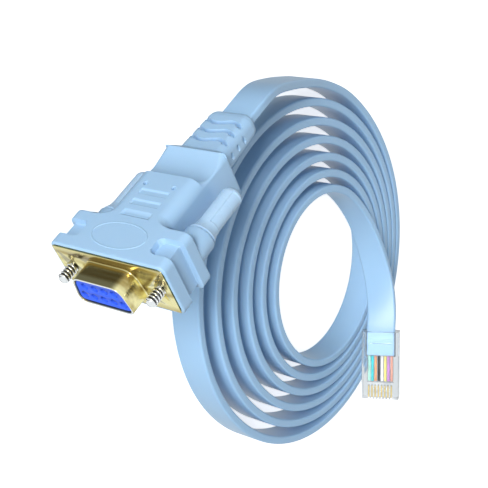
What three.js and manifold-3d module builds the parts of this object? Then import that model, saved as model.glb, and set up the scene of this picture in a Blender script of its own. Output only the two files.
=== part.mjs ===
// Console cable: a nine-way socket in a moulded hood, a flat ribbon cable laid in a loose coil,
// and a clear eight-way modular plug. Millimetres, +Z up, the floor at z = 0.
// The hood stands on its narrow side, with its cable leaving along +Y.
import * as THREE from 'three';
import { mergeVertices } from 'three/addons/utils/BufferGeometryUtils.js';
import Module from 'manifold-3d';

const wasm = await Module();
wasm.setup();

const clearance = 0.3; // between pieces that touch or fit into each other

// Ribbon cable
const ribbonWidth = 9.0;
const ribbonThickness = 2.4;
const ribbonEdge = 0.7; // chamfer that stands for the rounded edges
const ribbonStep = 4.2; // length of one straight step of a free stretch

// Coil of the ribbon, standing on edge; turns are counted clockwise from the hood, seen from above
const coilCenter = new THREE.Vector2(67.6, 41.8);
const coilRadius = 53.9; // mean radius half a turn in
const coilPitchTight = 2.75; // where the turns bunch together
const coilPitchWide = 7.75; // where they spread, at the first turn
const coilPitchLoss = 0.15; // the spread pitch closes up by twice this each turn
const coilOval = 0.06;
const coilOvalAngle = THREE.MathUtils.degToRad(19.5);
const coilTightAngle = THREE.MathUtils.degToRad(40.85);
const coilStartAngle = THREE.MathUtils.degToRad(187.9);
const coilFirstTurn = 0.2;
const coilLastTurn = 6.12;
const coilStepsPerTurn = 52;

// Nine-way connector, by its own axes: x across, y towards the cable, z out of the face with the oval
const flangeWidth = 30.8;
const flangeHeight = 12.5;
const flangeThickness = 0.8;
const flangeCorner = 0.8;
const screwSpacing = 25.0;
const shellWidth = 16.3;
const shellHeight = 7.9;
const shellSlant = Math.tan(THREE.MathUtils.degToRad(10));
const shellCorner = 2.5;
const shellWall = 0.45;
const shellLip = 0.35; // the step where the shell meets the flange
const shellDepth = 5.2; // in front of the flange
const insulatorRecess = 0.3; // behind the shell's rim
const insulatorTail = 1.7; // behind the flange
const contactPitch = 2.77;
const contactRowSpacing = 2.84;
const contactHoleRadius = 0.8;
const contactRadius = 0.5;
const contactBore = 0.28;
const contactBoreDepth = 2.8;
const contactSetBack = 0.6; // behind the insulator's face
const contactLength = 5.5;

// Hood, one moulding with its strain relief
const hoodWidth = 32.4;
const hoodThickness = 14.2;
const hoodCorner = 1.7;
const hoodRimFront = 0.25; // hood's front face behind the flange's front face
const hoodBlockEnd = 11.0;
const blockOverlap = 1.5; // of the body into the block
const grooveStart = 3.6;
const grooveEnd = 7.9;
const grooveInner = 10.2; // half the width of the bridge between the grooves
const grooveDepth = 1.4;
const grooveCorner = 1.3;
const bodyWidth = 16.8;
const bodyCorner = 2.8;
const bodyFillet = 2.6;
const footInset = 1.2; // where the fillet at the block stops short of the two flat faces
const crestEnd = 25.6; // where the flat top stops and the scoop begins
const crestLip = 0.7; // length of the steep start of the scoop
const scoopDepth = 3.2; // at the scoop's steep start
const scoopEnd = 35.4;
const scoopEndHeight = 12.2;
const bodyEnd = 37.2;
const shoulderStart = 1.0; // in front of the scoop's end, where the sides turn in
const shoulderReach = 0.6; // past the scoop's end
const reliefOffset = 1.6; // of the strain relief and its cable, towards the face with the oval
const reliefWidthBack = 13.4;
const reliefWidthEnd = 12.4;
const reliefHeightBack = 6.6;
const reliefHeightEnd = 5.8;
const reliefEnd = 51.5;
const reliefCorner = 2.0;
const reliefEdge = 1.2;
const reliefGrooves = [40.5, 43.7, 46.9]; // where each groove crosses the middle
const reliefGrooveWidth = 0.9;
const reliefGrooveDepth = 0.9;
// Each groove's swing to and fro: share of half the end's width, and distance along the cable
const reliefGroovePath = [
  [-1.25, 2.1], [-0.86, 1.0], [-0.54, -0.1], [-0.14, -0.35], [0.25, 0.15], [0.57, 0.3], [0.84, -0.6],
];
const reliefWindows = [39.4, 42.2, 45.0];
const reliefWindowLength = 1.0;
const reliefWindowHeight = 2.0;
const reliefWindowDepth = 0.8;
const ribbonPocket = 2.8; // how far the ribbon goes into the strain relief
const barCenters = [12.9, 16.2, 19.5];
const barWidth = 8.1;
const barLength = 1.7;
const barDepth = 0.3;
const barCorner = 0.35;
const barOvercut = 0.6; // past the face that the bars are sunk in
const dimpleSpacing = 8.0;
const dimplePlace = 21.9;
const dimpleRadius = 0.4;
const dimpleDepth = 0.5;
const bossRadius = 3.6;
const bossEnd = 15.8;
const bossEdge = 0.3;
const slotCorner = 0.6; // of the openings round the cable

// Thumbscrews
const screwRadius = 1.4;
const screwThreadRoot = 1.08;
const screwThreadPitch = 0.8;
const screwTip = 4.6; // in front of the flange
const screwPoint = 0.2; // chamfer at the tip
const screwTailInGrip = 5.0;
const gripFootRadius = 3.3;
const gripRadius = 2.6;
const gripFlare = 2.6; // length of the cone at its foot
const gripEnd = 30.4;
const gripFoot = 0.5; // straight rim of the flared foot
const gripRound = 2.3; // length of the rounded end

// Modular plug, by its own axes: x across, y towards its nose, z out of the contact face
const plugWidth = 11.7;
const plugLength = 21.5;
const plugHeight = 6.6;
const plugEdge = 0.45;
const jacketDepth = 7.6; // how far the ribbon's jacket goes in
const wireCount = 8;
const wirePitch = 1.02;
const wireRadius = 0.4;
const wireEnd = 16.0;
const wireHeight = 0.4; // above the plug's middle
const wireSideGap = 0.2; // beside the outer wires' pitch
const bladeThickness = 0.32;
const bladeSideGap = 0.15;
const bladeLength = 3.7;
const bladeHeight = 1.5;
const bladeRecess = 0.35; // below the plug's contact face
const bladeNoseGap = 0.5;
const strainWindowWidth = 6.4;
const strainWindowLength = 1.5;
const strainWindowPlace = 2.2;
const strainWindowDepth = 1.1;
const latchWidth = 6.2;
const latchTipWidth = 3.4;
const latchLength = 14.6;
const latchWideLength = 6.5;
const latchNarrowing = 1.5; // length over which it narrows to its tip
const latchCorner = 0.25;
const latchThickness = 0.9;
const latchHingePlace = 19.9;
const latchHeel = 0.6; // past its hinge, towards the nose
const latchRestAngle = THREE.MathUtils.degToRad(13);
const plugHeading = new THREE.Vector2(0.75, -0.66);
const plugPitch = THREE.MathUtils.degToRad(8);
const plugLean = THREE.MathUtils.degToRad(22);
const plugRear = new THREE.Vector3(107.2, 55.0, 16.2);

// Where the connector stands: its own middle is over the origin
const connectorShift = (reliefEnd - shellDepth) / 2;
const connectorHeight = hoodWidth / 2;

// Free stretch from the hood to the coil: x, y, height of the ribbon's middle, lean in degrees
const hoodStretch = [
  [-1.6, 28.4, 16.2, 0], [-1.6, 31.5, 16.2, 0], [-1.4, 35.0, 16.0, 0], [-0.6, 39.0, 15.3, 0],
  [1.0, 43.1, 14.2, 0], [3.4, 47.3, 12.9, 0], [6.2, 51.5, 11.6, 0], [9.3, 56.0, 10.3, 0],
  [12.8, 60.8, 9.0, 0], [16.9, 66.2, 7.7, 0], [21.4, 71.4, 6.5, 0], [26.4, 76.4, 5.6, 0],
  [32.0, 81.2, 5.0, 0], [38.0, 85.2, 4.6, 0],
];
// Free stretch from the coil over the bunched turns to the plug
const plugStretch = [
  [60.1, 68.9, 4.52, 0], [65.7, 71.9, 4.6, 0], [72.2, 73.8, 5.1, 0], [78.8, 74.4, 6.1, 0],
  [85.3, 73.5, 7.5, 2], [91.2, 71.2, 9.4, 5], [96.2, 67.7, 11.6, 9], [100.2, 63.3, 13.8, 14],
  [103.7, 59.1, 15.3, 19],
];

// Materials
const hoodBlue = new THREE.MeshStandardMaterial({ color: 0x9cc6e8, roughness: 0.5, metalness: 0 });
const ribbonBlue = new THREE.MeshStandardMaterial({ color: 0x8fbde3, roughness: 0.45, metalness: 0 });
const gripBlue = new THREE.MeshStandardMaterial({ color: 0xb4d2ec, roughness: 0.4, metalness: 0 });
const gold = new THREE.MeshStandardMaterial({ color: 0xd8b45a, roughness: 0.22, metalness: 1 });
const contactGold = new THREE.MeshStandardMaterial({ color: 0xc9a24a, roughness: 0.3, metalness: 1 });
const insulatorBlue = new THREE.MeshStandardMaterial({ color: 0x2f55e0, roughness: 0.4, metalness: 0 });
const screwSteel = new THREE.MeshStandardMaterial({ color: 0xc8c8c8, roughness: 0.25, metalness: 1 });
const clearPlastic = new THREE.MeshStandardMaterial({
  color: 0xe6eef2, roughness: 0.08, metalness: 0, transparent: true, opacity: 0.35,
});
const wireColors = [0xc98a72, 0xb98fd0, 0xe9d67a, 0xf2f2f2, 0x161616, 0xe08a5a, 0x2fbcc4, 0x9fd8c0];

function toSolid(geometry) {
  const plain = geometry.clone();
  plain.deleteAttribute('normal');
  plain.deleteAttribute('uv');
  const merged = mergeVertices(plain, 1e-4);
  const corners = merged.index.array;
  const kept = [];
  for (let i = 0; i < corners.length; i += 3) {
    const [a, b, c] = [corners[i], corners[i + 1], corners[i + 2]];
    if (a !== b && b !== c && c !== a) kept.push(a, b, c);
  }
  return new wasm.Manifold(new wasm.Mesh({
    numProp: 3,
    vertProperties: new Float32Array(merged.attributes.position.array),
    triVerts: new Uint32Array(kept),
  }));
}

function toGeometry(body) {
  const mesh = body.getMesh();
  const geometry = new THREE.BufferGeometry();
  geometry.setAttribute('position', new THREE.BufferAttribute(new Float32Array(mesh.vertProperties), 3));
  geometry.setIndex(new THREE.BufferAttribute(new Uint32Array(mesh.triVerts), 1));
  geometry.computeVertexNormals();
  return geometry;
}

// A closed outline through the given corners, each rounded by its radius
function roundedOutline(corners, radius) {
  const shape = new THREE.Shape();
  const count = corners.length;
  corners.forEach((corner, i) => {
    const here = new THREE.Vector2(...corner);
    const before = new THREE.Vector2(...corners[(i + count - 1) % count]);
    const after = new THREE.Vector2(...corners[(i + 1) % count]);
    const own = Array.isArray(radius) ? radius[i] : radius;
    const start = here.clone().add(before.sub(here).setLength(own));
    const end = here.clone().add(after.sub(here).setLength(own));
    if (i === 0) shape.moveTo(start.x, start.y);
    else shape.lineTo(start.x, start.y);
    if (own > 0) shape.quadraticCurveTo(here.x, here.y, end.x, end.y);
  });
  shape.closePath();
  return shape;
}

function rectangle(width, height, radius) {
  const [x, y] = [width / 2, height / 2];
  return roundedOutline([[x, -y], [x, y], [-x, y], [-x, -y]], radius);
}

// An outline drawn in (x, y) goes along z, in (x, z) along y, and in (y, z) along x
function prism(shape, from, to, axis, segments = 5) {
  const geometry = new THREE.ExtrudeGeometry(shape, {
    depth: to - from, bevelEnabled: false, curveSegments: segments, steps: 1,
  });
  if (axis === 'y') geometry.translate(0, 0, -to).rotateX(Math.PI / 2);
  else geometry.translate(0, 0, from);
  if (axis === 'x') {
    geometry.applyMatrix4(new THREE.Matrix4().makeBasis(
      new THREE.Vector3(0, 1, 0), new THREE.Vector3(0, 0, 1), new THREE.Vector3(1, 0, 0),
    ));
  }
  return geometry;
}

function box(x0, x1, y0, y1, z0, z1) {
  return new THREE.BoxGeometry(x1 - x0, y1 - y0, z1 - z0)
    .translate((x0 + x1) / 2, (y0 + y1) / 2, (z0 + z1) / 2);
}

// A turned solid on the y axis from (radius, y) points
function turned(points, segments) {
  return new THREE.LatheGeometry(points.map(([r, y]) => new THREE.Vector2(r, y)), segments);
}

function mesh(name, geometry, material, parent) {
  const piece = new THREE.Mesh(geometry, material);
  piece.name = name;
  parent.add(piece);
  return piece;
}

// The shell's D, wide side down, moved in by an inset
function shellOutline(inset) {
  const low = shellWidth / 2 - inset;
  const high = low - (shellHeight - 2 * inset) * shellSlant;
  const z = shellHeight / 2 - inset;
  return roundedOutline([[low, -z], [high, z], [-high, z], [-low, -z]], Math.max(shellCorner - inset, 0.5));
}

function contactPlaces() {
  const places = [];
  for (let i = 0; i < 5; i += 1) places.push([(i - 2) * contactPitch, -contactRowSpacing / 2]);
  for (let i = 0; i < 4; i += 1) places.push([(i - 1.5) * contactPitch, contactRowSpacing / 2]);
  return places;
}

function screwPlaces() {
  return [['upper', screwSpacing / 2], ['lower', -screwSpacing / 2]];
}

function hoodBlock() {
  const outer = rectangle(hoodWidth, hoodThickness, hoodCorner);
  const block = toSolid(prism(outer, hoodRimFront, hoodBlockEnd, 'y'));
  const core = rectangle(hoodWidth - 2 * grooveDepth, hoodThickness - 2 * grooveDepth, hoodCorner);
  const inner = toSolid(prism(core, grooveStart - 1, grooveEnd + 1, 'y'));
  const reach = hoodWidth / 2 + 2;
  let body = block;
  for (const side of [-1, 1]) {
    const outline = roundedOutline([
      [side * grooveInner, grooveStart], [side * reach, grooveStart],
      [side * reach, grooveEnd], [side * grooveInner, grooveEnd],
    ], [grooveCorner, 0, 0, grooveCorner]);
    const ring = toSolid(prism(outline, -hoodThickness, hoodThickness, 'z')).subtract(inner);
    body = body.subtract(ring);
  }
  return body;
}

function hoodBody() {
  const half = hoodThickness / 2;
  const start = hoodBlockEnd - blockOverlap;
  const scoopMiddle = (crestEnd + scoopEnd) / 2;
  const low = half - scoopDepth;
  const back = scoopEndHeight / 2;
  const side = new THREE.Shape();
  side.moveTo(start, -half);
  side.lineTo(crestEnd, -half);
  side.bezierCurveTo(crestEnd + crestLip, -low, scoopMiddle, -low, scoopEnd, -back);
  side.lineTo(bodyEnd, reliefOffset - reliefHeightBack / 2);
  side.lineTo(bodyEnd, reliefOffset + reliefHeightBack / 2);
  side.lineTo(scoopEnd, back);
  side.bezierCurveTo(scoopMiddle, low, crestEnd + crestLip, low, crestEnd, half);
  side.lineTo(start, half);
  side.closePath();
  const w = bodyWidth / 2;
  const neck = reliefWidthBack / 2;
  const shoulder = scoopEnd - shoulderStart;
  const turn = scoopEnd + shoulderReach;
  const plan = new THREE.Shape();
  plan.moveTo(w + bodyFillet, start);
  plan.lineTo(w + bodyFillet, hoodBlockEnd);
  plan.quadraticCurveTo(w, hoodBlockEnd, w, hoodBlockEnd + bodyFillet);
  plan.lineTo(w, shoulder);
  plan.quadraticCurveTo(w, turn, neck, bodyEnd);
  plan.lineTo(-neck, bodyEnd);
  plan.quadraticCurveTo(-w, turn, -w, shoulder);
  plan.lineTo(-w, hoodBlockEnd + bodyFillet);
  plan.quadraticCurveTo(-w, hoodBlockEnd, -w - bodyFillet, hoodBlockEnd);
  plan.lineTo(-w - bodyFillet, start);
  plan.closePath();
  const outline = rectangle(bodyWidth, hoodThickness, bodyCorner);
  const section = toSolid(prism(outline, hoodBlockEnd, bodyEnd + 1, 'y'));
  const footHalf = half - footInset;
  const foot = toSolid(box(-hoodWidth, hoodWidth, 0, hoodBlockEnd + bodyFillet, -footHalf, footHalf));
  return toSolid(prism(side, -hoodWidth, hoodWidth, 'x', 12))
    .intersect(toSolid(prism(plan, -hoodThickness, hoodThickness, 'z', 6)))
    .intersect(section.add(foot));
}

function reliefHalfHeight(y) {
  const share = (y - bodyEnd) / (reliefEnd - bodyEnd);
  return THREE.MathUtils.lerp(reliefHeightBack, reliefHeightEnd, share) / 2;
}

function strainRelief() {
  const start = bodyEnd - 2;
  const [wb, we] = [reliefWidthBack / 2, reliefWidthEnd / 2];
  const [hb, he] = [reliefHeightBack / 2, reliefHeightEnd / 2];
  const placed = (geometry) => toSolid(geometry.translate(0, 0, reliefOffset));
  const plan = roundedOutline([[wb, start], [we, reliefEnd], [-we, reliefEnd], [-wb, start]],
    [0, reliefCorner, reliefCorner, 0]);
  const side = roundedOutline([[start, -hb], [reliefEnd, -he], [reliefEnd, he], [start, hb]],
    [0, reliefEdge, reliefEdge, 0]);
  const section = prism(rectangle(reliefWidthBack, reliefHeightBack, reliefEdge), start, reliefEnd + 1, 'y');
  let body = placed(prism(plan, -hoodThickness, hoodThickness, 'z', 6))
    .intersect(placed(prism(side, -hoodWidth, hoodWidth, 'x', 6)))
    .intersect(placed(section));
  for (const face of [-1, 1]) {
    for (const middle of reliefGrooves) {
      const depth = reliefHalfHeight(middle) - reliefGrooveDepth;
      const groove = prism(grooveOutline(middle), depth, depth + hoodThickness, 'z', 3);
      if (face < 0) groove.rotateY(Math.PI);
      body = body.subtract(placed(groove));
    }
  }
  for (const place of reliefWindows) {
    for (const end of [-1, 1]) {
      const width = THREE.MathUtils.lerp(wb, we, (place - bodyEnd) / (reliefEnd - bodyEnd));
      const cut = box(-reliefWindowDepth, reliefWindowDepth, place - reliefWindowLength / 2,
        place + reliefWindowLength / 2, -reliefWindowHeight / 2, reliefWindowHeight / 2);
      body = body.subtract(placed(cut.translate(end * width, 0, 0)));
    }
  }
  return body;
}

// One S-shaped groove, open at one side of the strain relief and closed near the other
function grooveOutline(middle) {
  const reach = reliefWidthEnd / 2;
  const places = reliefGroovePath.map(([x, y]) => new THREE.Vector2(x * reach, middle + y));
  const path = new THREE.SplineCurve(places);
  const half = reliefGrooveWidth / 2;
  const line = path.getPoints(14);
  const lower = line.map(({ x, y }) => new THREE.Vector2(x, y - half));
  const upper = line.reverse().map(({ x, y }) => new THREE.Vector2(x, y + half));
  return new THREE.Shape([...lower, ...upper]);
}

function hoodGeometry() {
  let body = hoodBlock().add(hoodBody()).add(strainRelief());
  for (const [, x] of screwPlaces()) {
    const root = hoodBlockEnd - blockOverlap;
    const boss = turned([[0, root], [bossRadius, root], [bossRadius, bossEnd - bossEdge],
      [bossRadius - bossEdge, bossEnd], [0, bossEnd]], 28).translate(x, 0, 0);
    body = body.add(toSolid(boss));
  }
  for (const y of barCenters) {
    for (const face of [-1, 1]) {
      const bar = prism(rectangle(barWidth, barLength, barCorner), -barDepth, barOvercut, 'z', 2)
        .translate(0, y, hoodThickness / 2);
      if (face < 0) bar.rotateY(Math.PI);
      body = body.subtract(toSolid(bar));
    }
  }
  for (const end of [-1, 1]) {
    const dimple = turned([[0, -dimpleDepth], [dimpleRadius, -dimpleDepth], [dimpleRadius, 1], [0, 1]], 10)
      .rotateX(Math.PI / 2).translate((end * dimpleSpacing) / 2, dimplePlace, hoodThickness / 2);
    body = body.subtract(toSolid(dimple));
  }
  const gap = 2 * clearance;
  const flangeBed = rectangle(flangeWidth + gap, flangeHeight + gap, flangeCorner);
  body = body.subtract(toSolid(prism(flangeBed, -1, flangeThickness + clearance, 'y')));
  const tailBed = prism(shellOutline(shellWall), 0, flangeThickness + insulatorTail + clearance, 'y');
  body = body.subtract(toSolid(tailBed));
  for (const [, x] of screwPlaces()) {
    const bore = turned([[0, -1], [screwRadius + clearance, -1], [screwRadius + clearance, bossEnd + 1],
      [0, bossEnd + 1]], 20).translate(x, 0, 0);
    body = body.subtract(toSolid(bore));
  }
  const slot = prism(rectangle(ribbonWidth + gap, ribbonThickness + gap, slotCorner),
    reliefEnd - ribbonPocket, reliefEnd + 1, 'y', 3);
  body = body.subtract(toSolid(slot.translate(0, 0, reliefOffset)));
  return toGeometry(body);
}

function flangeShellGeometry() {
  const back = flangeThickness;
  let body = toSolid(prism(rectangle(flangeWidth, flangeHeight, flangeCorner), 0, back, 'y'));
  body = body.add(toSolid(prism(shellOutline(0), -shellDepth, back, 'y', 6)));
  body = body.add(toSolid(prism(shellOutline(-shellLip), -shellLip, back, 'y', 6)));
  body = body.subtract(toSolid(prism(shellOutline(shellWall), -shellDepth - 1, back + 1, 'y', 6)));
  for (const [, x] of screwPlaces()) {
    const hole = turned([[0, -1], [screwRadius + clearance, -1], [screwRadius + clearance, back + 1],
      [0, back + 1]], 20).translate(x, 0, 0);
    body = body.subtract(toSolid(hole));
  }
  return toGeometry(body);
}

function insulatorGeometry() {
  const front = insulatorRecess - shellDepth;
  const back = flangeThickness + insulatorTail;
  let body = toSolid(prism(shellOutline(shellWall + clearance), front, back, 'y', 6));
  const holeEnd = front + contactSetBack + contactLength + clearance;
  for (const [x, z] of contactPlaces()) {
    const hole = turned([[0, front - 1], [contactHoleRadius, front - 1], [contactHoleRadius, holeEnd],
      [0, holeEnd]], 14).translate(x, 0, z);
    body = body.subtract(toSolid(hole));
  }
  return toGeometry(body);
}

function contactGeometry() {
  const front = insulatorRecess - shellDepth + contactSetBack;
  return turned([[0, front + contactBoreDepth], [contactBore, front + contactBoreDepth], [contactBore, front],
    [contactRadius, front], [contactRadius, front + contactLength], [0, front + contactLength]], 10);
}

function screwGeometry() {
  const tip = -screwTip;
  const points = [[0, tip], [screwThreadRoot - screwPoint, tip], [screwThreadRoot, tip + screwPoint]];
  const turns = Math.floor((screwTip - 2 * screwPoint) / screwThreadPitch);
  for (let i = 0; i < turns; i += 1) {
    const y = tip + screwPoint + i * screwThreadPitch;
    points.push([screwRadius, y + screwThreadPitch * 0.4], [screwRadius, y + screwThreadPitch * 0.6],
      [screwThreadRoot, y + screwThreadPitch]);
  }
  const end = bossEnd + clearance + screwTailInGrip;
  points.push([screwRadius, screwPoint], [screwRadius, end], [0, end]);
  return turned(points, 16);
}

function gripGeometry() {
  const foot = bossEnd + clearance;
  const points = [[0, foot], [gripFootRadius, foot], [gripFootRadius, foot + gripFoot],
    [gripRadius, foot + gripFlare], [gripRadius, gripEnd - gripRound]];
  for (let i = 1; i <= 5; i += 1) {
    const angle = (i / 5) * (Math.PI / 2);
    points.push([gripRadius * Math.cos(angle), gripEnd - gripRound + gripRound * Math.sin(angle)]);
  }
  points[points.length - 1][0] = 0;
  const bore = screwRadius + clearance;
  const depth = foot + screwTailInGrip + clearance;
  return toGeometry(toSolid(turned(points, 24))
    .subtract(toSolid(turned([[0, foot - 1], [bore, foot - 1], [bore, depth], [0, depth]], 20))));
}

// The middle of the ribbon at a turn of the coil, moved out by an offset
function coilPoint(turn, offset = 0) {
  const run = turn - 0.5;
  const bend = coilPitchLoss * run * run;
  const inward = ((coilPitchTight + coilPitchWide) * run - bend) / 2;
  const drift = ((coilPitchWide - coilPitchTight) * run - bend) / 2;
  const angle = coilStartAngle - 2 * Math.PI * turn;
  const oval = 1 + coilOval * Math.cos(2 * (angle - coilOvalAngle));
  const radius = (coilRadius - inward + offset) * oval;
  return new THREE.Vector2(
    coilCenter.x + radius * Math.cos(angle) + drift * Math.cos(coilTightAngle),
    coilCenter.y + radius * Math.sin(angle) + drift * Math.sin(coilTightAngle),
  );
}

function coilGeometry() {
  const steps = Math.round((coilLastTurn - coilFirstTurn) * coilStepsPerTurn);
  const turnAt = (i) => THREE.MathUtils.lerp(coilFirstTurn, coilLastTurn, i / steps);
  const outline = [];
  for (let i = 0; i <= steps; i += 1) outline.push(coilPoint(turnAt(i), ribbonThickness / 2));
  for (let i = steps; i >= 0; i -= 1) outline.push(coilPoint(turnAt(i), -ribbonThickness / 2));
  return prism(new THREE.Shape(outline), 0, ribbonWidth, 'z');
}

// A flat ribbon along a curve, on edge, leaning to its left by an angle at each point
function ribbonGeometry(route, lengthFrom, lengthTo) {
  const points = route.map(([x, y, z]) => new THREE.Vector3(x, y, z));
  const curve = new THREE.CatmullRomCurve3(points, false, 'centripetal');
  const total = curve.getLength();
  const from = lengthFrom;
  const to = total - lengthTo;
  const steps = Math.max(6, Math.round((to - from) / ribbonStep));
  const [w, t, c] = [ribbonWidth / 2, ribbonThickness / 2, ribbonEdge];
  const ring = [
    [w - c, -t], [w, -t + c], [w, t - c], [w - c, t], [-w + c, t], [-w, t - c], [-w, -t + c], [-w + c, -t],
  ];
  const up = new THREE.Vector3(0, 0, 1);
  const vertices = [];
  for (let i = 0; i <= steps; i += 1) {
    const share = THREE.MathUtils.lerp(from, to, i / steps) / total;
    const point = curve.getPointAt(share);
    const along = curve.getTangentAt(share);
    const place = curve.getUtoTmapping(share) * (route.length - 1);
    const index = Math.min(Math.floor(place), route.length - 2);
    const leanHere = THREE.MathUtils.lerp(route[index][3], route[index + 1][3], place - index);
    const lean = THREE.MathUtils.degToRad(leanHere);
    const left = new THREE.Vector3().crossVectors(up, along).normalize();
    const upright = new THREE.Vector3().crossVectors(along, left).normalize();
    const across = upright.multiplyScalar(Math.cos(lean)).addScaledVector(left, Math.sin(lean)).normalize();
    const side = new THREE.Vector3().crossVectors(across, along).normalize();
    for (const [a, b] of ring) {
      const corner = point.clone().addScaledVector(across, a).addScaledVector(side, b);
      vertices.push(corner.x, corner.y, corner.z);
    }
  }
  const count = ring.length;
  const faces = [];
  for (let i = 0; i < steps; i += 1) {
    for (let j = 0; j < count; j += 1) {
      const [a, b] = [i * count + j, i * count + ((j + 1) % count)];
      faces.push(a, b + count, b, a, a + count, b + count);
    }
  }
  const last = steps * count;
  for (let j = 1; j < count - 1; j += 1) {
    faces.push(0, j, j + 1);
    faces.push(last, last + j + 1, last + j);
  }
  const geometry = new THREE.BufferGeometry();
  geometry.setAttribute('position', new THREE.BufferAttribute(new Float32Array(vertices), 3));
  geometry.setIndex(faces);
  geometry.computeVertexNormals();
  return geometry;
}

function plugBodyGeometry() {
  const [w, h] = [plugWidth, plugHeight];
  const gap = 2 * clearance;
  let body = toSolid(prism(rectangle(w, h, plugEdge), 0, plugLength, 'y', 2));
  const jacketBed = rectangle(ribbonWidth + gap, ribbonThickness + gap, slotCorner);
  body = body.subtract(toSolid(prism(jacketBed, -1, jacketDepth + clearance, 'y', 2)));
  const wireHalf = (wireCount * wirePitch) / 2 + wireSideGap;
  const wireRise = wireRadius + clearance;
  body = body.subtract(toSolid(box(-wireHalf, wireHalf, jacketDepth, wireEnd + clearance,
    wireHeight - wireRise, wireHeight + wireRise)));
  const slotHalf = bladeThickness / 2 + bladeSideGap;
  const slotStart = plugLength - bladeNoseGap - bladeLength - clearance;
  const slotFloor = h / 2 - bladeRecess - bladeHeight - clearance;
  for (const x of wirePlaces()) {
    body = body.subtract(toSolid(box(x - slotHalf, x + slotHalf, slotStart, plugLength + 1, slotFloor, h)));
  }
  body = body.subtract(toSolid(box(-strainWindowWidth / 2, strainWindowWidth / 2, strainWindowPlace,
    strainWindowPlace + strainWindowLength, h / 2 - strainWindowDepth, h)));
  return toGeometry(body);
}

function wirePlaces() {
  return Array.from({ length: wireCount }, (_, i) => (i - (wireCount - 1) / 2) * wirePitch);
}

// The latch's own origin is its hinge line
function latchGeometry() {
  const [a, b] = [latchWidth / 2, latchTipWidth / 2];
  const plan = roundedOutline([[a, latchHeel], [-a, latchHeel], [-a, -latchWideLength],
    [-b, -latchWideLength - latchNarrowing], [-b, -latchLength], [b, -latchLength],
    [b, -latchWideLength - latchNarrowing], [a, -latchWideLength]], latchCorner);
  return prism(plan, -latchThickness / 2, latchThickness / 2, 'z', 2);
}

const cable = new THREE.Group();

const connector = new THREE.Group();
connector.rotation.y = -Math.PI / 2;
connector.position.set(0, -connectorShift, connectorHeight);
cable.add(connector);

mesh('hood', hoodGeometry(), hoodBlue, connector);
mesh('flange_shell', flangeShellGeometry(), gold, connector);
mesh('insulator', insulatorGeometry(), insulatorBlue, connector);
contactPlaces().forEach(([x, z], i) => {
  mesh(`socket_contact_${i + 1}`, contactGeometry(), contactGold, connector).position.set(x, 0, z);
});
for (const [side, x] of screwPlaces()) {
  mesh(`${side}_jackscrew`, screwGeometry(), screwSteel, connector).position.set(x, 0, 0);
  mesh(`${side}_thumb_grip`, gripGeometry(), gripBlue, connector).position.set(x, 0, 0);
}

const plug = new THREE.Group();
const plugAlong = new THREE.Vector3(plugHeading.x, plugHeading.y, 0).normalize()
  .multiplyScalar(Math.cos(plugPitch)).add(new THREE.Vector3(0, 0, Math.sin(plugPitch)));
const plugLeft = new THREE.Vector3().crossVectors(new THREE.Vector3(0, 0, 1), plugAlong).normalize();
const plugUp = new THREE.Vector3().crossVectors(plugAlong, plugLeft);
const plugDown = plugUp.multiplyScalar(-Math.cos(plugLean)).addScaledVector(plugLeft, -Math.sin(plugLean));
plug.setRotationFromMatrix(new THREE.Matrix4().makeBasis(
  plugDown, plugAlong, new THREE.Vector3().crossVectors(plugDown, plugAlong),
));
plug.position.copy(plugRear);
cable.add(plug);

mesh('plug_body', plugBodyGeometry(), clearPlastic, plug);
const latch = mesh('plug_latch', latchGeometry(), clearPlastic, plug);
latch.position.set(0, latchHingePlace, -plugHeight / 2 - clearance - latchThickness / 2);
latch.rotation.x = latchRestAngle;
wirePlaces().forEach((x, i) => {
  const color = wireColors[i % wireColors.length];
  const insulation = new THREE.MeshStandardMaterial({ color, roughness: 0.5, metalness: 0 });
  const wire = new THREE.CylinderGeometry(wireRadius, wireRadius, wireEnd - jacketDepth - clearance, 10);
  mesh(`wire_${i + 1}`, wire, insulation, plug)
    .position.set(x, (wireEnd + jacketDepth + clearance) / 2, wireHeight);
  const blade = new THREE.BoxGeometry(bladeThickness, bladeLength, bladeHeight);
  const bladeMiddle = plugLength - bladeNoseGap - bladeLength / 2;
  mesh(`contact_blade_${i + 1}`, blade, contactGold, plug)
    .position.set(x, bladeMiddle, plugHeight / 2 - bladeRecess - bladeHeight / 2);
});

const coilHeight = ribbonWidth / 2;
const coilStart = coilPoint(coilFirstTurn);
const coilEnd = coilPoint(coilLastTurn);
const pocketDepth = ribbonPocket - clearance;
const exitPoint = [-reliefOffset, reliefEnd - connectorShift - pocketDepth, connectorHeight, 0];
const plugInside = plugRear.clone().addScaledVector(plugAlong, jacketDepth);
const leanDegrees = THREE.MathUtils.radToDeg(plugLean);

mesh('cable_coil', coilGeometry(), ribbonBlue, cable);
mesh('cable_to_hood', ribbonGeometry(
  [exitPoint, ...hoodStretch, [coilStart.x, coilStart.y, coilHeight, 0]], 0, clearance,
), ribbonBlue, cable);
mesh('cable_to_plug', ribbonGeometry(
  [[coilEnd.x, coilEnd.y, coilHeight, 0], ...plugStretch,
    [...plugRear, leanDegrees], [...plugInside, leanDegrees]],
  clearance, 0,
), ribbonBlue, cable);

export default cable;
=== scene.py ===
# Flat blue console cable: a moulded hood with a nine-way socket, a loose coil and a clear plug
import math

import bmesh
import bpy
import numpy as np
from mathutils import Matrix, Vector


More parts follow.
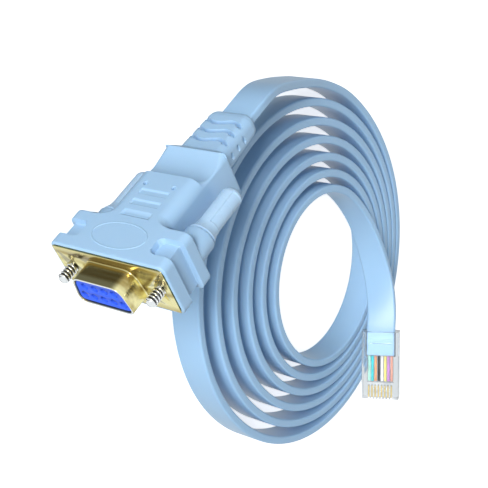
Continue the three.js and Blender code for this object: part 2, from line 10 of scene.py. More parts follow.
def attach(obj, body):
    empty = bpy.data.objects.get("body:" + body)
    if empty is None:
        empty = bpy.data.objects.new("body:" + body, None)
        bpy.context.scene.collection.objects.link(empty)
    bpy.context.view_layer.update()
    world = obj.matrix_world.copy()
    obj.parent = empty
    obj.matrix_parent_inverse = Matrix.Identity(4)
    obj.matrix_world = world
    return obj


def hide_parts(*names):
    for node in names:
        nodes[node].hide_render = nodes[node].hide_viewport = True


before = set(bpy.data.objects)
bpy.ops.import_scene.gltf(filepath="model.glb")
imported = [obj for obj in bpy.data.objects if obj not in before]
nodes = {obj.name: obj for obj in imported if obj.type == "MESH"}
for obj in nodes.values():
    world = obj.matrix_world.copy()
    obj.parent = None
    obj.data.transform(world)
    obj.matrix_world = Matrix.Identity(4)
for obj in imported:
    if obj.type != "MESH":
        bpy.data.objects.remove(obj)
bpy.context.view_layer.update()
mm = 0.001
mainBody = "cable_assembly"
print("frame loaded:", len(nodes), "nodes")


# Camera at the photo's viewing angle

cameraSetup = {
    "place": (-0.135572, -0.113616, 0.156095),
    "right": (0.2983, 0.5042, 0.8105),
    "back": (-0.6509, -0.5136, 0.559),
    "lens": 74.12,  # on a 36 mm sensor
}


def addCamera(setup):
    camera = bpy.data.cameras.new("photoCamera")
    camera.lens = setup["lens"]
    camera.sensor_width = 36.0
    camera.clip_start = 0.01
    holder = bpy.data.objects.new("photoCamera", camera)
    bpy.context.scene.collection.objects.link(holder)
    back = Vector(setup["back"]).normalized()
    right = Vector(setup["right"])
    right = (right - back * right.dot(back)).normalized()
    turn = Matrix((right, back.cross(right), back)).transposed().to_4x4()
    holder.matrix_world = Matrix.Translation(Vector(setup["place"])) @ turn
    bpy.context.scene.camera = holder


addCamera(cameraSetup)
print("camera set")


# Mesh helpers: a shape is (points, faces), points in millimetres in its own axes

def skin(rings, closeStart=True, closeEnd=True):
    # Rings run along the shape and turn clockwise as seen from its end, so faces point out
    rings = np.asarray(rings, float)
    count, size = rings.shape[:2]
    i = np.arange(count - 1)[:, None] * size
    j = np.arange(size)[None, :]
    k = (j + 1) % size
    quads = np.stack([i + j, i + size + j, i + size + k, i + k], axis=-1).reshape(-1, 4)
    points = rings.reshape(-1, 3).tolist()
    faces = quads.tolist()
    for close, ring, step in ((closeStart, 0, 1), (closeEnd, count - 1, -1)):
        if not close:
            continue
        middle = len(points)
        points.append(rings[ring].mean(axis=0).tolist())
        for a in range(size):
            pair = (ring * size + a, ring * size + (a + 1) % size)
            faces.append((middle, *pair[::step]))
    return points, faces


def together(*shapes):
    points, faces = [], []
    for shapePoints, shapeFaces in shapes:
        first = len(points)
        points.extend(shapePoints)
        faces.extend(tuple(first + corner for corner in face) for face in shapeFaces)
    return points, faces


def moved(shape, offset):
    points, faces = shape
    return (np.asarray(points, float) + np.asarray(offset, float)).tolist(), faces


def addPiece(name, shape, material, place, sharpAngle=38):
    points, faces = shape
    mesh = bpy.data.meshes.new(name)
    mesh.from_pydata([tuple(c * mm for c in point) for point in points], [], faces)
    mesh.transform(place)
    build = bmesh.new()
    build.from_mesh(mesh)
    bmesh.ops.remove_doubles(build, verts=build.verts, dist=1e-7)
    bmesh.ops.recalc_face_normals(build, faces=build.faces)
    build.to_mesh(mesh)
    build.free()
    mesh.polygons.foreach_set("use_smooth", [True] * len(mesh.polygons))
    mesh.set_sharp_from_angle(angle=math.radians(sharpAngle))
    mesh.materials.append(material)
    piece = bpy.data.objects.new(name, mesh)
    bpy.context.scene.collection.objects.link(piece)
    return piece


def cutAway(piece, cutter):
    # Cuts one piece by another and leaves the result in its mesh
    cut = piece.modifiers.new("cut", "BOOLEAN")
    cut.operation = "DIFFERENCE"
    cut.solver = "EXACT"
    cut.object = cutter
    applyModifiers(piece)
    bpy.data.objects.remove(cutter)


def applyModifiers(piece):
    bpy.context.view_layer.update()
    shown = piece.evaluated_get(bpy.context.evaluated_depsgraph_get())
    mesh = bpy.data.meshes.new_from_object(shown)
    piece.modifiers.clear()
    piece.data = mesh


def softenEdges(piece, width, segments=3, sharperThan=40):
    bevel = piece.modifiers.new("softEdges", "BEVEL")
    bevel.width = width * mm
    bevel.segments = segments
    bevel.limit_method = "ANGLE"
    bevel.angle_limit = math.radians(sharperThan)
    bevel.harden_normals = False
    applyModifiers(piece)


def smoothStep(value, start, end):
    share = np.clip((value - start) / (end - start), 0.0, 1.0)
    return share * share * (3.0 - 2.0 * share)


def curvedCorners(corners, radii, steps=6):
    # A closed outline whose corners are rounded by quadratic curves
    corners = np.asarray(corners, float)
    outline = []
    for i, here in enumerate(corners):
        before = corners[i - 1] - here
        after = corners[(i + 1) % len(corners)] - here
        start = here + before / np.linalg.norm(before) * radii[i]
        end = here + after / np.linalg.norm(after) * radii[i]
        for t in np.linspace(0, 1, steps + 1) if radii[i] > 0 else [0.0]:
            outline.append((1 - t) ** 2 * start + 2 * t * (1 - t) * here + t * t * end)
    return np.array(outline)


def turnedRings(profile, segments):
    # Rings about the y axis through (radius, y) points
    angles = np.linspace(0, 2 * math.pi, segments, endpoint=False)
    return np.array([[(r * math.cos(a), y, r * math.sin(a)) for a in angles] for r, y in profile])


def roundedBox(low, high, edge, steps=3):
    # A box with rounded edges, as rings along y
    low, high = np.array(low, float), np.array(high, float)
    half, middle = (high - low) / 2, (high + low) / 2
    section = fullSection(2, 2, 2 * steps)
    rings = []
    angles = np.linspace(0, math.pi / 2, steps + 1)
    ends = [(-half[1] + edge * (1 - math.sin(a)), edge * (1 - math.cos(a))) for a in angles[::-1]]
    for y, inset in ends + [(-y, inset) for y, inset in ends[::-1]]:
        ring = sectionRing(section, half[0] - inset, half[2] - inset, max(edge - inset, 0.01))
        rings.append(np.column_stack([ring[:, 0], np.full(len(ring), y), ring[:, 1]]) + middle)
    return skin(rings)


def fullSection(sidePoints, topPoints, cornerPoints):
    # Shares of size and corner radius for each point round a rounded rectangle
    size, corner = [], []
    def side(points, fixed, sweep):
        for t in np.linspace(-1, 1, points, endpoint=False):
            size.append((fixed[0] + sweep[0] * t, fixed[1] + sweep[1] * t))
            corner.append(fixed)
    def bend(fromAngle, sign):
        for a in np.linspace(0, math.pi / 2, cornerPoints, endpoint=False):
            size.append(sign)
            corner.append((math.cos(fromAngle + a), math.sin(fromAngle + a)))
    side(sidePoints, (1, 0), (0, 1))
    bend(0, (1, 1))
    side(topPoints, (0, 1), (-1, 0))
    bend(math.pi / 2, (-1, 1))
    side(sidePoints, (-1, 0), (0, -1))
    bend(math.pi, (-1, -1))
    side(topPoints, (0, -1), (1, 0))
    bend(1.5 * math.pi, (1, -1))
    return np.array(size, float), np.array(corner, float)


def sectionRing(section, halfWidth, halfHeight, radius):
    size, corner = section
    return size * (halfWidth - radius, halfHeight - radius) + corner * radius


# Material helpers

def startMaterial(name, color, roughness, metallic=0.0):
    material = bpy.data.materials.new(name)
    material.use_nodes = True
    shader = material.node_tree.nodes["Principled BSDF"]
    shader.inputs["Base Color"].default_value = (*color, 1.0)
    shader.inputs["Roughness"].default_value = roughness
    shader.inputs["Metallic"].default_value = metallic
    return material, shader


def addNoise(material, scale, detail=3.0, stretch=(1.0, 1.0, 1.0)):
    tree = material.node_tree
    place = tree.nodes.new("ShaderNodeTexCoord")
    mapping = tree.nodes.new("ShaderNodeMapping")
    mapping.inputs["Scale"].default_value = stretch
    noise = tree.nodes.new("ShaderNodeTexNoise")
    noise.inputs["Scale"].default_value = scale
    noise.inputs["Detail"].default_value = detail
    tree.links.new(place.outputs["Object"], mapping.inputs["Vector"])
    tree.links.new(mapping.outputs["Vector"], noise.inputs["Vector"])
    return noise.outputs["Fac"]


def varyColor(material, shader, factor, low, high, spread=(0.35, 0.65)):
    tree = material.node_tree
    ramp = tree.nodes.new("ShaderNodeValToRGB")
    ramp.color_ramp.elements[0].position = spread[0]
    ramp.color_ramp.elements[1].position = spread[1]
    ramp.color_ramp.elements[0].color = (*low, 1.0)
    ramp.color_ramp.elements[1].color = (*high, 1.0)
    tree.links.new(factor, ramp.inputs["Fac"])
    tree.links.new(ramp.outputs["Color"], shader.inputs["Base Color"])


def varyRoughness(material, shader, factor, low, high):
    tree = material.node_tree
    spread = tree.nodes.new("ShaderNodeMapRange")
    spread.inputs["From Min"].default_value = 0.3
    spread.inputs["From Max"].default_value = 0.7
    spread.inputs["To Min"].default_value = low
    spread.inputs["To Max"].default_value = high
    tree.links.new(factor, spread.inputs["Value"])
    tree.links.new(spread.outputs["Result"], shader.inputs["Roughness"])


def addGrain(material, shader, factor, strength, depth):
    tree = material.node_tree
    bump = tree.nodes.new("ShaderNodeBump")
    bump.inputs["Strength"].default_value = strength
    bump.inputs["Distance"].default_value = depth * mm
    tree.links.new(factor, bump.inputs["Height"])
    tree.links.new(bump.outputs["Normal"], shader.inputs["Normal"])


def mouldedPlastic(name, look):
    material, shader = startMaterial(name, look["color"], look["roughness"])
    shader.inputs["Subsurface Weight"].default_value = look["depthGlow"]
    shader.inputs["Subsurface Radius"].default_value = (0.3, 0.6, 1.0)
    shader.inputs["Subsurface Scale"].default_value = 0.8 * mm
    shader.inputs["Specular IOR Level"].default_value = look["shine"]
    darker = tuple(c * look["mottle"] for c in look["color"])
    varyColor(material, shader, addNoise(material, look["mottleScale"]), darker, look["color"])
    varyRoughness(material, shader, addNoise(material, look["mottleScale"] * 2.3),
                  look["roughness"] - 0.015, look["roughness"] + 0.02)
    addGrain(material, shader, addNoise(material, look["grainScale"], 2.0), look["grain"], 0.01)
    return material


hoodLook = {
    "color": (0.345, 0.535, 0.745), "roughness": 0.34, "shine": 0.3, "depthGlow": 0.08,
    "mottle": 0.975, "mottleScale": 70.0, "grainScale": 5200.0, "grain": 0.2,
}
jacketLook = {
    "color": (0.355, 0.565, 0.8), "roughness": 0.3, "shine": 0.3, "depthGlow": 0.1,
    "mottle": 0.975, "mottleScale": 50.0, "grainScale": 3600.0, "grain": 0.12,
}
gripLook = {
    "color": (0.41, 0.59, 0.78), "roughness": 0.27, "shine": 0.35, "depthGlow": 0.1,
    "mottle": 0.98, "mottleScale": 120.0, "grainScale": 5200.0, "grain": 0.1,
}
insulatorLook = {
    "color": (0.045, 0.13, 0.86), "roughness": 0.45, "shine": 0.25, "depthGlow": 0.03,
    "mottle": 0.94, "mottleScale": 300.0, "grainScale": 6000.0, "grain": 0.15,
}

hoodPlastic = mouldedPlastic("hoodPlastic", hoodLook)
jacketPlastic = mouldedPlastic("jacketPlastic", jacketLook)
gripPlastic = mouldedPlastic("gripPlastic", gripLook)
insulatorPlastic = mouldedPlastic("insulatorPlastic", insulatorLook)


goldLook = {"color": (0.95, 0.86, 0.45), "darker": (0.42, 0.31, 0.1), "roughness": 0.15, "streak": 300.0,
            "spread": (0.34, 0.56)}
contactLook = {"color": (0.9, 0.72, 0.28), "darker": (0.62, 0.46, 0.15), "roughness": 0.2, "streak": 1500.0,
               "spread": (0.3, 0.6)}
nickelLook = {"color": (0.92, 0.92, 0.91), "darker": (0.7, 0.7, 0.7), "roughness": 0.15, "streak": 900.0,
              "spread": (0.3, 0.5)}
# Near-black metal that paints shade into the thread's root
rootShadeLook = {"color": (0.1, 0.1, 0.1), "darker": (0.03, 0.03, 0.03), "roughness": 0.4, "streak": 900.0,
            "spread": (0.3, 0.7)}


def platedMetal(name, look):
    # Rolled sheet and turned steel: streaks along the socket's long side
    material, shader = startMaterial(name, look["color"], look["roughness"], 1.0)
    streaks = addNoise(material, look["streak"], 2.0, (1.0, 1.0, 0.04))
    varyColor(material, shader, streaks, look["darker"], look["color"], look["spread"])
    varyRoughness(material, shader, streaks, look["roughness"] + 0.08, look["roughness"])
    addGrain(material, shader, addNoise(material, 2600.0), 0.04, 0.01)
    return material


goldPlate = platedMetal("goldPlate", goldLook)
contactPlate = platedMetal("contactPlate", contactLook)
nickelPlate = platedMetal("nickelPlate", nickelLook)
threadRootShade = platedMetal("threadRootShade", rootShadeLook)

clearLook = {"color": (0.8, 0.81, 0.82), "roughness": 0.04}


def clearPlastic(name, look):
    material, shader = startMaterial(name, look["color"], look["roughness"])
    shader.inputs["Transmission Weight"].default_value = 1.0
    shader.inputs["IOR"].default_value = 1.49
    varyRoughness(material, shader, addNoise(material, 400.0),
                  look["roughness"] - 0.02, look["roughness"] + 0.05)
    addGrain(material, shader, addNoise(material, 700.0, 1.0), 0.05, 0.03)
    return material


clearShell = clearPlastic("clearShell", clearLook)
print("materials made")


# The flat cable: its route, in metres, with the lean of the flat side in degrees

cableLook = {
    "width": 9.0, "thickness": 2.4, "edge": 0.6,
    "length": 1.68,  # metres; the route itself measures 1.673
    "step": 1.6,
}
hoodRoute = [
    (-0.0016, 0.02585, 0.0162, 0), (-0.0016, 0.0284, 0.0162, 0), (-0.0016, 0.0315, 0.0162, 0),
    (-0.0014, 0.035, 0.016, 0), (-0.0006, 0.039, 0.0153, 0), (0.001, 0.0431, 0.0142, 0),
    (0.0034, 0.0473, 0.0129, 0), (0.0062, 0.0515, 0.0116, 0), (0.0093, 0.056, 0.0103, 0),
    (0.0128, 0.0608, 0.009, 0),
    (0.0169, 0.0662, 0.0077, 0), (0.0214, 0.0714, 0.0065, 0), (0.0264, 0.0764, 0.0056, 0),
    (0.032, 0.0812, 0.005, 0), (0.038, 0.0852, 0.0046, 0),
]
plugRoute = [
    (0.0601, 0.0689, 0.00452, 0), (0.0657, 0.0719, 0.0046, 0), (0.0722, 0.0738, 0.0051, 0),
    (0.0788, 0.0744, 0.0061, 0), (0.0853, 0.0735, 0.0075, 2), (0.0912, 0.0712, 0.0094, 5),
    (0.0962, 0.0677, 0.0116, 9), (0.1002, 0.0633, 0.0138, 14), (0.1037, 0.0591, 0.0153, 19),
]
coilSetup = {
    "center": (0.0676, 0.0418), "radius": 0.0539,  # mean radius half a turn in
    "tight": 0.00275, "wide": 0.00775, "loss": 0.00015,  # pitches, and how fast the wide one closes
    "oval": 0.06, "ovalAngle": 19.5, "tightAngle": 40.85, "startAngle": 187.9,
    "firstTurn": 0.2, "lastTurn": 6.12, "stepsPerTurn": 52, "height": 0.0045,
}
plugSetup = {"rear": (0.1072, 0.055, 0.0162), "heading": (0.75, -0.66), "pitch": 8.0, "lean": 22.0,
             "jacketDepth": 0.0076}


def plugAxes(setup):
    flat = Vector((*setup["heading"], 0)).normalized()
    pitch, lean = math.radians(setup["pitch"]), math.radians(setup["lean"])
    along = flat * math.cos(pitch) + Vector((0, 0, math.sin(pitch)))
    left = Vector((0, 0, 1)).cross(along).normalized()
    down = -along.cross(left) * math.cos(lean) - left * math.sin(lean)
    return down, along, down.cross(along)


def coilRoute(setup):
    oval, tight, start = (math.radians(setup[key]) for key in ("ovalAngle", "tightAngle", "startAngle"))
    steps = round((setup["lastTurn"] - setup["firstTurn"]) * setup["stepsPerTurn"])
    route = []
    for i in range(steps + 1):
        turn = setup["firstTurn"] + (setup["lastTurn"] - setup["firstTurn"]) * i / steps
        run = turn - 0.5
        bend = setup["loss"] * run * run
        inward = ((setup["tight"] + setup["wide"]) * run - bend) / 2
        drift = ((setup["wide"] - setup["tight"]) * run - bend) / 2
        angle = start - 2 * math.pi * turn
        radius = (setup["radius"] - inward) * (1 + setup["oval"] * math.cos(2 * (angle - oval)))
        route.append((setup["center"][0] + radius * math.cos(angle) + drift * math.cos(tight),
                      setup["center"][1] + radius * math.sin(angle) + drift * math.sin(tight),
                      setup["height"], 0))
    return route


def knotPair(knots, k, span):
    # The knots that a step of the curve is blended between; the last step uses the middle two
    return (knots[1], knots[2]) if span == 3 else (knots[k], knots[k + span])


def between(first, second, start, end, t):
    return ((end - t) * first + (t - start) * second) / (end - start)


def smoothRoute(points, step):
    # Centripetal curve through the points, then even steps along it
    points = np.asarray(points, float)
    padded = np.vstack([2 * points[0] - points[1], points, 2 * points[-1] - points[-2]])
    fine = []
    for i in range(1, len(padded) - 2):
        p0, p1, p2, p3 = padded[i - 1:i + 3]
        knots = [0.0]
        for a, b in ((p0, p1), (p1, p2), (p2, p3)):
            knots.append(knots[-1] + np.linalg.norm((b - a)[:3]) ** 0.5)
        for t in np.linspace(knots[1], knots[2], 8, endpoint=False):
            level = [p0, p1, p2, p3]
            for span in (1, 2, 3):
                level = [between(level[k], level[k + 1], *knotPair(knots, k, span), t)
                         for k in range(4 - span)]
            fine.append(level[0])
    fine.append(points[-1])
    fine = np.array(fine)
    distance = np.concatenate([[0], np.cumsum(np.linalg.norm(np.diff(fine[:, :3], axis=0), axis=1))])
    even = np.linspace(0, distance[-1], max(2, round(distance[-1] / step)) + 1)
    return np.column_stack([np.interp(even, distance, fine[:, k]) for k in range(4)]), distance[-1]


def makeCable(look, material):
    _, along, _ = plugAxes(plugSetup)
    rear = Vector(plugSetup["rear"])
    inside = rear + along * plugSetup["jacketDepth"]
    ends = [(*rear, plugSetup["lean"]), (*inside, plugSetup["lean"])]
    route, length = smoothRoute(hoodRoute + coilRoute(coilSetup) + plugRoute + ends, look["step"] * mm)
    print("cable length followed:", round(length, 4))
    middle = route[:, :3]
    ahead = np.gradient(middle, axis=0)
    ahead /= np.linalg.norm(ahead, axis=1)[:, None]
    left = np.cross((0, 0, 1), ahead)
    left /= np.linalg.norm(left, axis=1)[:, None]
    upright = np.cross(ahead, left)
    lean = np.radians(route[:, 3])[:, None]
    across = upright * np.cos(lean) + left * np.sin(lean)
    side = np.cross(across, ahead)
    outline = sectionRing(fullSection(6, 1, 6), look["width"] / 2, look["thickness"] / 2, look["edge"])
    rings = [middle[i] / mm + outline[:, :1] * across[i] + outline[:, 1:] * side[i]
             for i in range(len(middle))]
    ribbon = addPiece("flatCable", skin(rings), material, Matrix(), 60)
    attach(ribbon, mainBody)
    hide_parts("cable_coil", "cable_to_hood", "cable_to_plug")
    return ribbon, [tuple(point) for point in middle]


flatCable, cablePath = makeCable(cableLook, jacketPlastic)
print("cable laid:", len(cablePath), "points")


# The hood's own axes in the part's frame

hoodPlace = Matrix(((0, 0, -1, 0), (0, 1, 0, -0.02315), (1, 0, 0, 0.0162), (0, 0, 0, 1)))


# The hood: x across, y towards the cable, z out of the face with the oval

hoodShape = {
    "halfWidth": 16.2, "halfHeight": 7.1, "corner": 1.7, "front": 0.25, "blockEnd": 11.0, "edge": 0.5,
    "grooveFrom": 3.6, "grooveTo": 7.9, "grooveInner": 10.2, "grooveCorner": 1.5, "grooveDepth": 1.4,
    "bodyHalf": 8.4, "bodyHalfBack": 8.75, "bodyCorner": 2.9, "fillet": 2.6,
    "crest": 25.6, "scoopDepth": 3.2, "scoopEnd": 35.4, "scoopEndHeight": 6.1, "bodyEnd": 37.2,
    "reliefHalf": (6.7, 6.2), "reliefHeight": (3.3, 2.9), "reliefEnd": 51.5,
    "reliefRound": (2.5, 2.0, 1.3), "reliefCorner": 2.2,
    "reliefShift": 1.6,  # towards the face with the oval
    "slotHalf": (4.8, 1.5), "slotDepth": 2.8,
    "bed": (15.7, 6.55), "bedDepth": 1.1, "bedCorner": 0.9,
}
hoodMarks = {
    "barPlaces": (12.9, 16.2, 19.5), "bar": (4.05, 0.85), "barDepth": 0.3,  # sunk, with a sloping far side
    "dimples": ((-4.0, 21.9), (4.0, 21.9)), "dimpleRadius": 0.6, "dimpleDepth": 1.1,
    "ovalCenter": (0.0, 6.1), "oval": (7.4, 3.65), "ovalLine": 0.2,
    "grooves": (40.5, 43.7, 46.9), "grooveHalf": 0.45, "grooveDepth": 1.15, "grooveClosed": 5.2,
    "groovePath": ((-7.8, 2.1), (-5.3, 1.0), (-3.4, -0.1), (-0.9, -0.35), (1.6, 0.15), (3.5, 0.3),
                   (5.2, -0.6)),
    "windows": (39.4, 42.2, 45.0), "window": (0.42, 0.9, 0.5),
    "boss": 3.6, "bossEnd": 15.8, "screwPlace": 12.5,
}


def bezier(points, t):
    a, b, c, d = (np.array(p, float) for p in points)
    t = np.asarray(t, float)[:, None]
    return (1 - t) ** 3 * a + 3 * t * (1 - t) ** 2 * b + 3 * t * t * (1 - t) * c + t ** 3 * d


def hoodSections(s):
    # (y, half width, half height, corner radius, shift) from the flange's bed to the slot for the cable
    round4 = np.linspace(0, math.pi / 2, 7)
    rows = [(y, *s["bed"], s["bedCorner"]) for y in (s["bedDepth"], s["front"])]
    for a in round4:
        inset = s["edge"] * (1 - math.sin(a))
        rows.append((s["front"] + s["edge"] * (1 - math.cos(a)), s["halfWidth"] - inset,
                     s["halfHeight"] - inset, s["corner"]))
    for y in np.arange(1.0, s["blockEnd"] - s["edge"], 0.2):
        rows.append((y, s["halfWidth"], s["halfHeight"], s["corner"]))
    for a in round4:
        rows.append((s["blockEnd"] - s["edge"] * (1 - math.sin(a)),
                     s["halfWidth"] - s["edge"] * (1 - math.cos(a)), s["halfHeight"], s["corner"]))
    for a in np.linspace(0, math.pi / 2, 9):
        half = s["bodyHalf"] + s["fillet"] * (1 - math.sin(a))
        rows.append((s["blockEnd"] + s["fillet"] * (1 - math.cos(a)), half, s["halfHeight"],
                     s["corner"] + (s["bodyCorner"] - s["corner"]) * a / (math.pi / 2)))
    for y in np.arange(13.75, s["crest"], 0.15):
        rows.append((y, s["bodyHalf"], s["halfHeight"], s["bodyCorner"]))
    low = s["halfHeight"] - s["scoopDepth"]
    middle = (s["crest"] + s["scoopEnd"]) / 2
    scoop = bezier([(s["crest"], s["halfHeight"]), (s["crest"] + 0.7, low), (middle, low),
                    (s["scoopEnd"], s["scoopEndHeight"])], np.linspace(0, 1, 31))
    widening = s["bodyHalfBack"] - s["bodyHalf"]
    for y, height in scoop:
        half = s["bodyHalf"] + widening * smoothStep(y, s["crest"] + 0.6, s["scoopEnd"])
        rows.append((y, half, height, max(0.45, s["bodyCorner"] - (s["halfHeight"] - height))))
    rows = [(*row, 0.0) for row in rows]
    neck, neckHeight, shift = s["reliefHalf"][0], s["reliefHeight"][0], s["reliefShift"]
    back, round1 = s["scoopEndHeight"], s["reliefCorner"]
    for t in np.linspace(0.06, 1, 12):
        y = s["scoopEnd"] + (s["bodyEnd"] - s["scoopEnd"]) * t
        top, bottom = back + (shift + neckHeight - back) * t, -back + (shift - neckHeight + back) * t
        half = s["bodyHalfBack"] + (neck - s["bodyHalfBack"]) * t ** 1.5
        rows.append((y, half, (top - bottom) / 2, 0.45 + (round1 - 0.45) * t, (top + bottom) / 2))
    roundWide, roundLong, roundHigh = s["reliefRound"]
    for y in np.arange(s["bodyEnd"] + 0.12, s["reliefEnd"] - roundLong, 0.14):
        share = (y - s["bodyEnd"]) / (s["reliefEnd"] - s["bodyEnd"])
        rows.append((y, neck + (s["reliefHalf"][1] - neck) * share,
                     neckHeight + (s["reliefHeight"][1] - neckHeight) * share, round1, shift))
    for a in np.linspace(0, math.pi / 2, 12):
        inset = 1 - math.cos(a)
        rows.append((s["reliefEnd"] - roundLong * (1 - math.sin(a)), s["reliefHalf"][1] - roundWide * inset,
                     s["reliefHeight"][1] - roundHigh * inset, round1 - 1.1 * inset, shift))
    wide, high = s["slotHalf"]
    rows.append((s["reliefEnd"] - 0.02, wide + 0.12, high + 0.12, 0.7, shift))
    rows.append((s["reliefEnd"] - 0.25, wide, high, 0.6, shift))
    rows.append((s["reliefEnd"] - s["slotDepth"], wide, high, 0.6, shift))
    return rows


def grooveLine(marks):
    # The S that each groove of the strain relief follows
    places = np.array(marks["groovePath"])
    return np.poly1d(np.polyfit(places[:, 0], places[:, 1], 5))


def carveHood(points, s, marks):
    # Sinks the grooves, windows, bars and dimples into the rings, and rounds the block's rear edges
    x, y, z = points[..., 0].copy(), points[..., 1].copy(), points[..., 2].copy()
    wide = np.abs(x)
    corner = np.hypot(np.maximum(s["grooveInner"] + s["grooveCorner"] - wide, 0),
                      np.maximum(np.abs(y - (s["grooveFrom"] + s["grooveTo"]) / 2)
                                 - (s["grooveTo"] - s["grooveFrom"]) / 2 + s["grooveCorner"], 0))
    sunk = 1 - smoothStep(corner, s["grooveCorner"] - 0.15, s["grooveCorner"] + 0.12)
    sunk *= (y < s["blockEnd"]) & (y > s["front"] + 0.5)
    innerX = s["halfWidth"] - s["grooveDepth"]
    innerZ = s["halfHeight"] - s["grooveDepth"]
    x = np.where(wide > innerX, np.sign(x) * (innerX + (wide - innerX) * (1 - sunk)), x)
    z = np.where(np.abs(z) > innerZ, np.sign(z) * (innerZ + (np.abs(z) - innerZ) * (1 - sunk)), z)
    rear = s["blockEnd"] - s["edge"]
    drop = s["edge"] - np.sqrt(np.maximum(s["edge"] ** 2 - np.clip(y - rear, 0, s["edge"]) ** 2, 0))
    drop *= smoothStep(wide, 9.0, 11.0) * (y <= s["blockEnd"] + 1e-6) * (y > rear)
    z -= np.sign(z) * drop
    share = np.clip((y - s["bodyEnd"]) / (s["reliefEnd"] - s["bodyEnd"]), 0, 1)
    top = s["reliefHeight"][0] + (s["reliefHeight"][1] - s["reliefHeight"][0]) * share
    edge = s["reliefHalf"][0] + (s["reliefHalf"][1] - s["reliefHalf"][0]) * share
    line = grooveLine(marks)
    z = np.where(y > s["bodyEnd"], z - s["reliefShift"], z)
    for face in (1, -1):
        along = x * face
        inGroove = np.zeros_like(x)
        for middle in marks["grooves"]:
            apart = np.abs(y - middle - line(np.clip(along, -7.8, marks["grooveClosed"])))
            past = np.maximum(along - marks["grooveClosed"], 0)
            outside = smoothStep(np.hypot(apart, past), marks["grooveHalf"] - 0.14,
                                 marks["grooveHalf"] + 0.12)
            inGroove = np.maximum(inGroove, 1 - outside)
        level = top - marks["grooveDepth"] * inGroove
        limited = np.where((inGroove > 0) & (z * face > level), level * face, z)
        z = np.where(y > s["bodyEnd"] + 0.2, limited, z)
    half, tall, deep = marks["window"]
    for middle in marks["windows"]:
        spot = np.hypot((y - middle) / half, z / tall)
        inWindow = 1 - smoothStep(spot, 0.8, 1.15)
        x = np.where(inWindow > 0, np.sign(x) * np.minimum(np.abs(x), edge - deep * inWindow), x)
    z = np.where(y > s["bodyEnd"], z + s["reliefShift"], z)
    barWide, barLong = marks["bar"]
    for middle in marks["barPlaces"]:
        across = 1 - smoothStep(np.abs(x), barWide - 0.35, barWide)
        sunk = smoothStep(y, middle - barLong - 0.05, middle - barLong + 0.12)
        sunk *= 1 - smoothStep(y, middle + barLong - 0.5, middle + barLong)
        drop = marks["barDepth"] * across * sunk
        z = np.where(np.abs(z) > s["halfHeight"] - 0.01, z - np.sign(z) * drop, z)
    for place in marks["dimples"]:
        spot = np.hypot(x - place[0], y - place[1]) / marks["dimpleRadius"]
        z = np.where(z > 6, z - marks["dimpleDepth"] * (1 - smoothStep(spot, 0.55, 1.0)), z)
    return np.stack([x, y, z], axis=-1)


def ovalRing(marks, face):
    # The fine raised line round the bare oval
    (cx, cy), (a, b) = marks["ovalCenter"], marks["oval"]
    angles = np.linspace(0, 2 * math.pi, 128, endpoint=False)
    rings = []
    for angle in angles:
        out = np.array([math.cos(angle) / a, math.sin(angle) / b])
        out /= np.linalg.norm(out)
        for bend in np.linspace(0, 2 * math.pi, 8, endpoint=False):
            reach = marks["ovalLine"] * math.cos(bend)
            rings.append((cx + a * math.cos(angle) + out[0] * reach,
                          cy + b * math.sin(angle) + out[1] * reach,
                          face + 0.6 * marks["ovalLine"] * math.sin(bend)))
    count = len(angles)
    faces = []
    for i in range(count):
        for j in range(8):
            k, n = (j + 1) % 8, (i + 1) % count
            faces.append((i * 8 + j, n * 8 + j, n * 8 + k, i * 8 + k))
    return rings, faces


def makeHood(s, marks, material):
    section = fullSection(24, 104, 6)
    rings = []
    for y, halfWidth, halfHeight, radius, shift in hoodSections(s):
        ring = sectionRing(section, halfWidth, halfHeight, radius)
        rings.append(np.column_stack([ring[:, 0], np.full(len(ring), y), ring[:, 1] + shift]))
    shapes = [skin(carveHood(np.array(rings), s, marks)), ovalRing(marks, s["halfHeight"])]
    edge = 0.35
    bends = np.linspace(0, math.pi / 2, 5)
    profile = [(marks["boss"], s["blockEnd"] - 1.0)]
    profile += [(marks["boss"] - edge * (1 - math.cos(a)), marks["bossEnd"] - edge * (1 - math.sin(a)))
                for a in bends]
    profile += [(1.75, marks["bossEnd"]), (1.7, marks["bossEnd"] - 2.0)]
    for side in (1, -1):
        shapes.append(moved(skin(turnedRings(profile, 48)), (side * marks["screwPlace"], 0, 0)))
    hood = addPiece("mouldedHood", together(*shapes), material, hoodPlace, 34)
    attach(hood, mainBody)
    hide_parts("hood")
    return hood


makeHood(hoodShape, hoodMarks, hoodPlastic)
print("hood made")


# The gold flange with its drawn shell, and the blue insulator

shellShape = {
    "flange": (15.4, 6.25), "flangeThick": 0.8, "flangeEdge": 0.18,
    "shell": (16.3, 7.9), "slant": 10.0, "corner": 2.5, "depth": 5.2, "wall": 0.5, "lip": 0.08,
    "draw": 0.3, "screwHole": 1.47, "screwPlace": 12.5,
}


def shellOutline(s, inset, steps=8):
    low = s["shell"][0] / 2 - inset
    high = low - (s["shell"][1] - 2 * inset) * math.tan(math.radians(s["slant"]))
    z = s["shell"][1] / 2 - inset
    radius = max(s["corner"] - inset, 0.5)
    return curvedCorners([(low, -z), (high, z), (-high, z), (-low, -z)], [radius] * 4, steps)


def shellRings(s, rows):
    rings = []
    for y, inset in rows:
        outline = shellOutline(s, inset)
        rings.append(np.column_stack([outline[:, 0], np.full(len(outline), y), outline[:, 1]]))
    return rings


